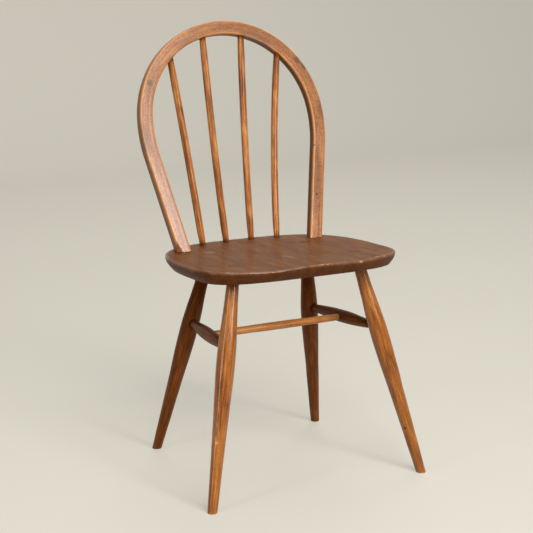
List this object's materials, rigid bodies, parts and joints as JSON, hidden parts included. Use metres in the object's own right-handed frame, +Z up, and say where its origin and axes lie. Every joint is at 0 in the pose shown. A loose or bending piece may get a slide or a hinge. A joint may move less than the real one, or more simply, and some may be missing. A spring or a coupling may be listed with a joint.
{
  "type": "hoop-back chair",
  "caption": "Wooden kitchen chair with a saddled plank seat, turned splayed legs joined by stretchers, and a bent hoop back filled with slim sticks, worn and varnished.",
  "frame": {"origin": "on the floor, at the centre of the chair's footprint", "axes": "+Z up, +Y towards the chair's back, so it faces -Y; +X is to the right as seen from the front"},
  "size_m": [0.4492, 0.4344, 0.8176],
  "materials": {
    "seat_wood": "worn satin varnish, grain front to back",
    "hoop_wood": "worn gloss varnish with pale rubbed arrises",
    "stick_wood": "worn gloss varnish",
    "leg_wood": "worn gloss varnish with pale scuffed feet",
    "stretcher_wood": "worn satin varnish",
    "wedge_wood": "bare end grain, darkened"
  },
  "bodies": {
    "root": {"seat": "seat_wood", "hoop": "hoop_wood", "stick_inner_left": "stick_wood", "stick_outer_left": "stick_wood", "leg_front_left": "leg_wood", "leg_rear_left": "leg_wood", "side_stretcher_left": "stretcher_wood", "leg_wedge_front_left": "wedge_wood", "leg_wedge_rear_left": "wedge_wood", "hoop_wedge_left": "wedge_wood", "stick_inner_right": "stick_wood", "stick_outer_right": "stick_wood", "leg_front_right": "leg_wood", "leg_rear_right": "leg_wood", "side_stretcher_right": "stretcher_wood", "leg_wedge_front_right": "wedge_wood", "leg_wedge_rear_right": "wedge_wood", "hoop_wedge_right": "wedge_wood", "cross_stretcher": "stretcher_wood"}
  },
  "joints": []
}
